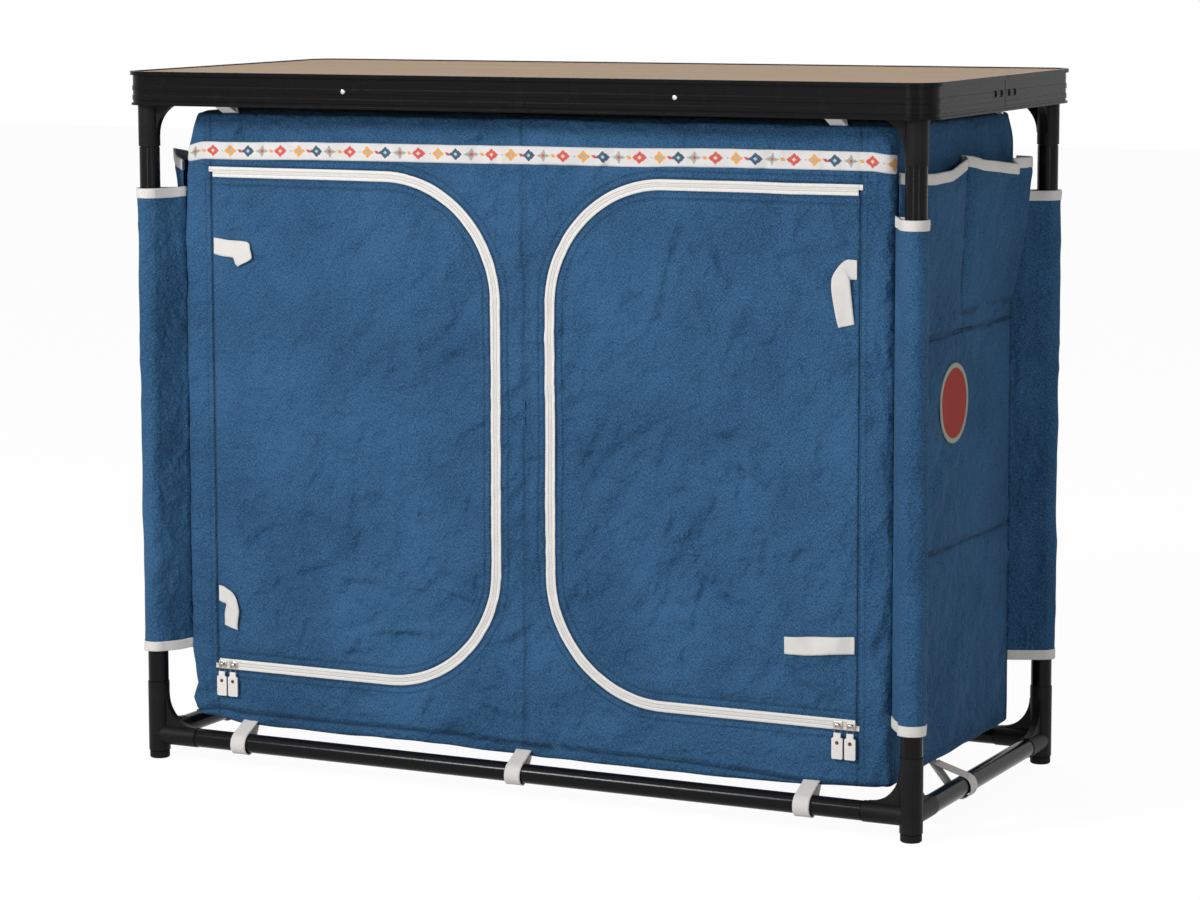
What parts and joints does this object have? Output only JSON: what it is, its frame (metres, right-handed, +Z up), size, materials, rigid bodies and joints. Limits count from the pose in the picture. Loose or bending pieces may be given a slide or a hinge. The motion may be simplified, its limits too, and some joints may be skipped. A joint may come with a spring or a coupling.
{
  "type": "camping cupboard",
  "caption": "Take-apart camping cupboard: tube frame in moulded corners, hung fabric cupboard with zipped doors and shelves, and a folding worktop in an extruded rim.",
  "frame": {"origin": "on the floor under the middle of the worktop", "axes": "+Z up, +X to the right along the long side when facing the doors, the doors face -Y"},
  "size_m": [1, 0.464, 0.812],
  "materials": {
    "blue_fabric": "heather-blue polyester oxford cloth, matt, softly wrinkled",
    "black_tube": "satin black anodised aluminium tube",
    "black_corner": "moulded black nylon, satin",
    "black_foot": "moulded black foot, matt",
    "worktop_board": "fibreboard with a plain sand-coloured laminate, matt",
    "floor_board": "thin stiffener board, dark",
    "black_rim": "satin black aluminium extrusion with two raised ribs",
    "black_rivet": "blackened rivet",
    "hinge_steel": "zinc-plated pressed steel",
    "woven_ribbon": "white woven ribbon with small stepped diamonds",
    "zip_tape": "white coil zip on ribbed tape",
    "slider_metal": "nickel-plated die casting",
    "pull_tab": "plain off-white pull tab with an eyelet",
    "white_webbing": "off-white woven webbing"
  },
  "bodies": {
    "root": {"back_panel": "blue_fabric", "corner_bottom_front_left": "black_corner", "corner_bottom_front_right": "black_corner", "corner_bottom_rear_left": "black_corner", "corner_bottom_rear_right": "black_corner", "corner_top_front_left": "black_corner", "corner_top_front_right": "black_corner", "corner_top_rear_left": "black_corner", "corner_top_rear_right": "black_corner", "divider": "blue_fabric", "floor_board": "floor_board", "floor_panel": "blue_fabric", "foot_caps": "black_foot", "front_panel": "blue_fabric", "leg_front_left": "black_tube", "leg_front_right": "black_tube", "leg_rear_left": "black_tube", "leg_rear_right": "black_tube", "leg_sleeves_left": "blue_fabric", "leg_sleeves_right": "blue_fabric", "rail_bottom_front": "black_tube", "rail_bottom_left": "black_tube", "rail_bottom_rear": "black_tube", "rail_bottom_right": "black_tube", "rail_loops": "white_webbing", "rail_top_front": "black_tube", "rail_top_left": "black_tube", "rail_top_rear": "black_tube", "rail_top_right": "black_tube", "ribbon": "woven_ribbon", "shelves": "blue_fabric", "side_panel_left": "blue_fabric", "side_panel_right": "blue_fabric", "side_pocket_left": "blue_fabric", "side_pocket_right": "blue_fabric", "top_panel": "blue_fabric", "zip_frame_halves": "zip_tape"},
    "worktop": {"hinge_pins": "hinge_steel"},
    "worktop_front": {"rim_front": "black_rim", "board_front": "worktop_board", "hinge_leaves_front": "hinge_steel", "rim_rivets_front": "black_rivet"},
    "worktop_rear": {"rim_rear": "black_rim", "board_rear": "worktop_board", "hinge_leaves_rear": "hinge_steel", "rim_rivets_rear": "black_rivet"},
    "door_left": {"door_left": "blue_fabric", "zip_door_half_left": "zip_tape", "tie_straps_left": "white_webbing"},
    "zip_slider_left_outer": {"zip_slider_left_outer": "slider_metal"},
    "zip_puller_left_outer": {"zip_puller_left_outer": "pull_tab"},
    "zip_slider_left_inner": {"zip_slider_left_inner": "slider_metal"},
    "zip_puller_left_inner": {"zip_puller_left_inner": "pull_tab"},
    "door_right": {"door_right": "blue_fabric", "zip_door_half_right": "zip_tape", "tie_straps_right": "white_webbing"},
    "zip_slider_right_outer": {"zip_slider_right_outer": "slider_metal"},
    "zip_puller_right_outer": {"zip_puller_right_outer": "pull_tab"},
    "zip_slider_right_inner": {"zip_slider_right_inner": "slider_metal"},
    "zip_puller_right_inner": {"zip_puller_right_inner": "pull_tab"}
  },
  "joints": [
    {"name": "worktop_lift", "type": "slide", "parent": "root", "child": "worktop", "axis": [0, 0, 1], "range_m": [0, 0.66]},
    {"name": "worktop_front_fold", "type": "hinge", "parent": "worktop", "child": "worktop_front", "pos_m": [0, 0, 0.7725], "axis": [1, 0, 0], "range_deg": [0, 90]},
    {"name": "worktop_rear_fold", "type": "hinge", "parent": "worktop", "child": "worktop_rear", "pos_m": [0, 0, 0.7725], "axis": [-1, 0, 0], "range_deg": [0, 90]},
    {"name": "door_left_swing", "type": "hinge", "parent": "root", "child": "door_left", "pos_m": [-0.404, -0.19, 0.4055], "axis": [0, 0, -1], "range_deg": [0, 145]},
    {"name": "zip_slider_left_outer_slide", "type": "slide", "parent": "root", "child": "zip_slider_left_outer", "axis": [1, 0, 0], "range_m": [0, 0.08]},
    {"name": "zip_puller_left_outer_swing", "type": "hinge", "parent": "zip_slider_left_outer", "child": "zip_puller_left_outer", "pos_m": [-0.3975, -0.19375, 0.1155], "axis": [-1, 0, 0], "range_deg": [0, 150]},
    {"name": "zip_slider_left_inner_slide", "type": "slide", "parent": "zip_slider_left_outer", "child": "zip_slider_left_inner", "axis": [1, 0, 0], "range_m": [0, 0.115]},
    {"name": "zip_puller_left_inner_swing", "type": "hinge", "parent": "zip_slider_left_inner", "child": "zip_puller_left_inner", "pos_m": [-0.3825, -0.19375, 0.1155], "axis": [-1, 0, 0], "range_deg": [0, 150]},
    {"name": "door_right_swing", "type": "hinge", "parent": "root", "child": "door_right", "pos_m": [0.404, -0.19, 0.4055], "axis": [0, 0, 1], "range_deg": [0, 145]},
    {"name": "zip_slider_right_outer_slide", "type": "slide", "parent": "root", "child": "zip_slider_right_outer", "axis": [-1, 0, 0], "range_m": [0, 0.08]},
    {"name": "zip_puller_right_outer_swing", "type": "hinge", "parent": "zip_slider_right_outer", "child": "zip_puller_right_outer", "pos_m": [0.3975, -0.19375, 0.1155], "axis": [-1, 0, 0], "range_deg": [0, 150]},
    {"name": "zip_slider_right_inner_slide", "type": "slide", "parent": "zip_slider_right_outer", "child": "zip_slider_right_inner", "axis": [-1, 0, 0], "range_m": [0, 0.115]},
    {"name": "zip_puller_right_inner_swing", "type": "hinge", "parent": "zip_slider_right_inner", "child": "zip_puller_right_inner", "pos_m": [0.3825, -0.19375, 0.1155], "axis": [-1, 0, 0], "range_deg": [0, 150]}
  ],
  "couplings": [
    {"joint": "worktop_front_fold", "follows": "worktop_lift", "rad_per_m": 2.379},
    {"joint": "worktop_rear_fold", "follows": "worktop_lift", "rad_per_m": 2.379}
  ]
}
